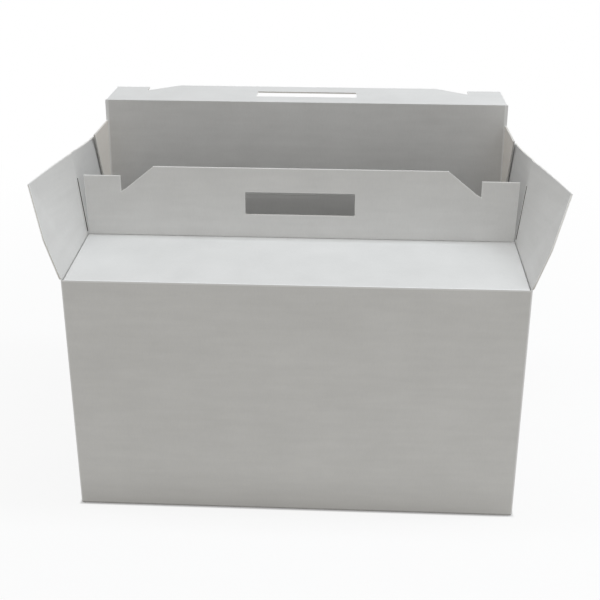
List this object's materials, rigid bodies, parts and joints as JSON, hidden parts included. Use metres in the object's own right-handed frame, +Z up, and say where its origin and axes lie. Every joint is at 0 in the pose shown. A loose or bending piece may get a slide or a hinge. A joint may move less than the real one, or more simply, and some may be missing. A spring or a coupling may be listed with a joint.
{
  "type": "carry box with handle",
  "caption": "White folded board carry box with locking handle panels, slit side flaps and a snap-lock bottom; front top half shut, back half raised.",
  "frame": {"origin": "middle of the underside, on the plane that the box stands on", "axes": "+X along the width, +Y from the shut front half to the raised back half, +Z up"},
  "size_m": [0.4946, 0.2871, 0.3486],
  "materials": {
    "white_board": "white coated micro-flute board, matt"
  },
  "bodies": {
    "carton": {"carton": "white_board"},
    "front_top_panel": {"front_top_panel": "white_board"},
    "front_handle": {"front_handle": "white_board"},
    "back_top_panel": {"back_top_panel": "white_board"},
    "back_handle": {"back_handle": "white_board"},
    "left_side_flap": {"left_side_flap": "white_board"},
    "right_side_flap": {"right_side_flap": "white_board"}
  },
  "joints": [
    {"name": "front_panel_fold", "type": "hinge", "parent": "carton", "child": "front_top_panel", "pos_m": [0, -0.104, 0.245], "axis": [1, 0, 0], "range_deg": [0, 225]},
    {"name": "front_handle_fold", "type": "hinge", "parent": "front_top_panel", "child": "front_handle", "pos_m": [0, -0.0003, 0.2434], "axis": [-1, 0, 0], "range_deg": [0, 90]},
    {"name": "back_panel_fold", "type": "hinge", "parent": "carton", "child": "back_top_panel", "pos_m": [0, 0.104, 0.245], "axis": [-1, 0, 0], "range_deg": [-94, 131]},
    {"name": "back_handle_fold", "type": "hinge", "parent": "back_top_panel", "child": "back_handle", "pos_m": [0, 0.10964, 0.34856], "axis": [1, 0, 0], "range_deg": [0, 90]},
    {"name": "left_flap_fold", "type": "hinge", "parent": "carton", "child": "left_side_flap", "pos_m": [-0.211, 0, 0.245], "axis": [0, -1, 0], "range_deg": [0, 145]},
    {"name": "right_flap_fold", "type": "hinge", "parent": "carton", "child": "right_side_flap", "pos_m": [0.211, 0, 0.245], "axis": [0, 1, 0], "range_deg": [0, 145]}
  ]
}
